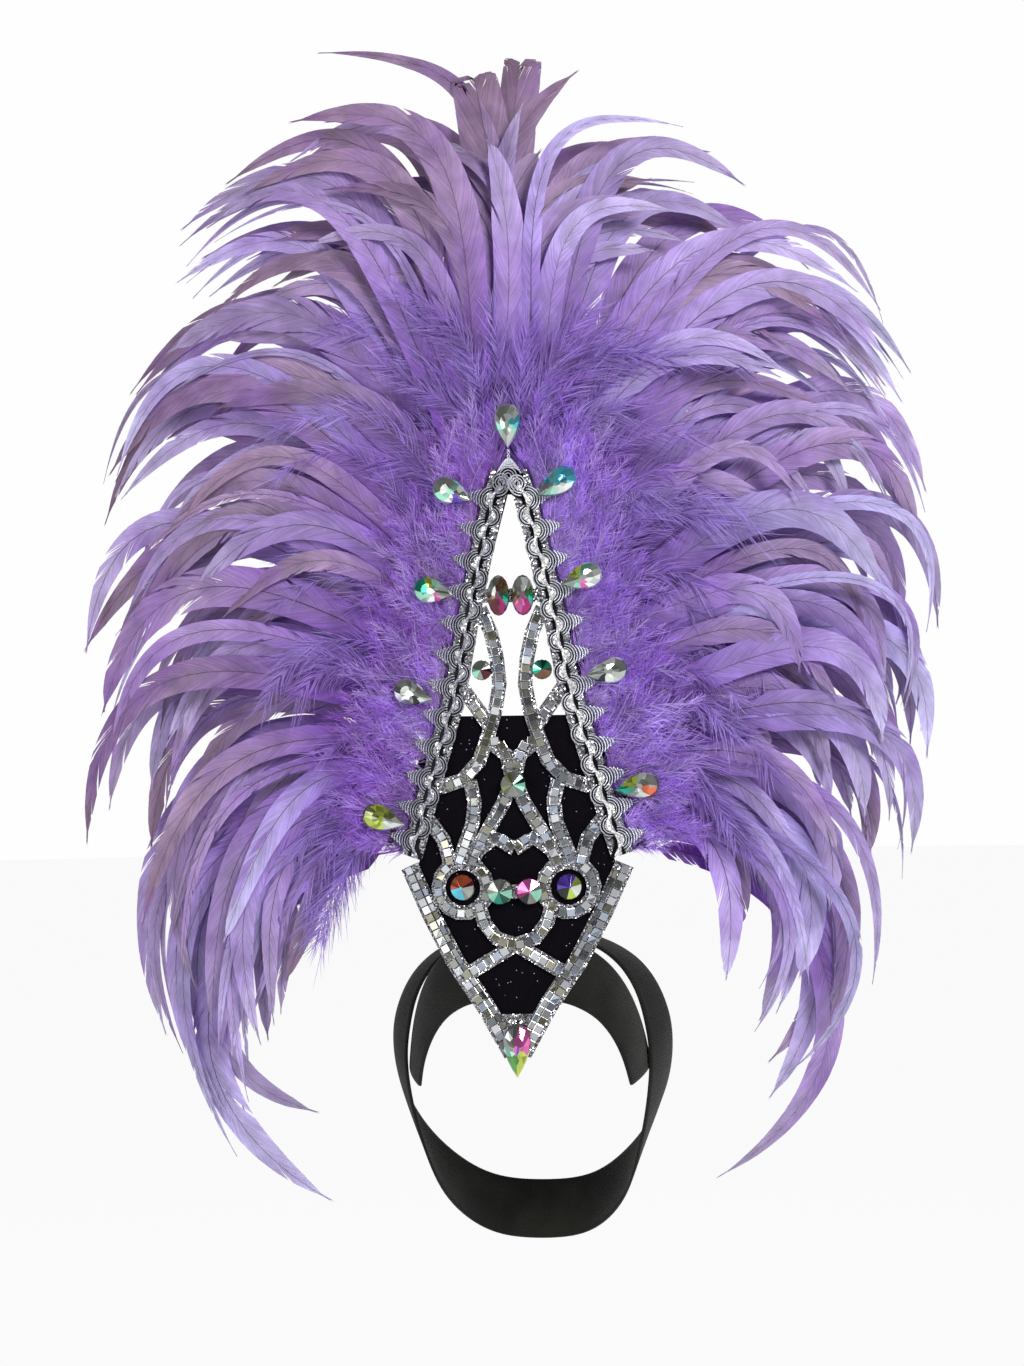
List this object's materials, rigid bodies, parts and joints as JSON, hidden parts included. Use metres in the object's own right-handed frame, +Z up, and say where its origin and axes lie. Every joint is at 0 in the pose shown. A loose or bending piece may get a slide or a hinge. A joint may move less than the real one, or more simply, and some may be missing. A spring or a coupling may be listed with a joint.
{
  "type": "carnival feather headdress",
  "caption": "Tall carnival headdress with a pointed pierced mirror-tape front plate, braid and cut stones, wide sprays of arching feathers with down, and a strap loop for the head.",
  "frame": {"origin": "crown of the wearer's head, under the crown strap, on the plane of symmetry", "axes": "+Z up, -Y the way the wearer faces, +X towards the wearer's left, so to the right when seen from the front"},
  "size_m": [0.5856, 0.2074, 0.8283],
  "materials": {
    "silver_glitter": "silver glitter on foam sheet",
    "mirror_tape": "small square mirror tiles",
    "black_velvet": "black velvet with fine glitter specks",
    "silver_braid": "woven silver metallic thread and sequins",
    "cut_crystal": "foil-backed cut glass with a rainbow coating",
    "feather": "dyed rooster feathers, lilac to mauve",
    "down": "dyed down, violet",
    "black_felt": "black felt",
    "black_strap": "black woven stretch fabric"
  },
  "bodies": {
    "root": {"front_lattice": "silver_glitter", "mirror_tape": "mirror_tape", "velvet_panel": "black_velvet", "braid_left": "silver_braid", "braid_right": "silver_braid", "braid_apex_fan": "silver_braid", "pear_top": "cut_crystal", "pear_left_1": "cut_crystal", "pear_right_1": "cut_crystal", "pear_left_2": "cut_crystal", "pear_right_2": "cut_crystal", "pear_left_3": "cut_crystal", "pear_right_3": "cut_crystal", "pear_left_4": "cut_crystal", "pear_right_4": "cut_crystal", "stone_vase_left": "cut_crystal", "stone_vase_right": "cut_crystal", "stone_centre": "cut_crystal", "stone_ring_left": "cut_crystal", "stone_ring_right": "cut_crystal", "stone_bar_left": "cut_crystal", "stone_bar_right": "cut_crystal", "oval_left": "cut_crystal", "oval_right": "cut_crystal", "pear_tip": "cut_crystal", "plumes_left_1": "feather", "plumes_left_2": "feather", "plumes_left_3": "feather", "plumes_left_4": "feather", "plumes_left_5": "feather", "plumes_left_6": "feather", "plumes_right_1": "feather", "plumes_right_2": "feather", "plumes_right_3": "feather", "plumes_right_4": "feather", "plumes_right_5": "feather", "plumes_top": "feather", "feather_backing": "black_felt", "fluff_left": "down", "fluff_right": "down", "head_loop_strap": "black_strap", "front_band_left": "black_strap", "front_band_right": "black_strap"}
  },
  "joints": []
}
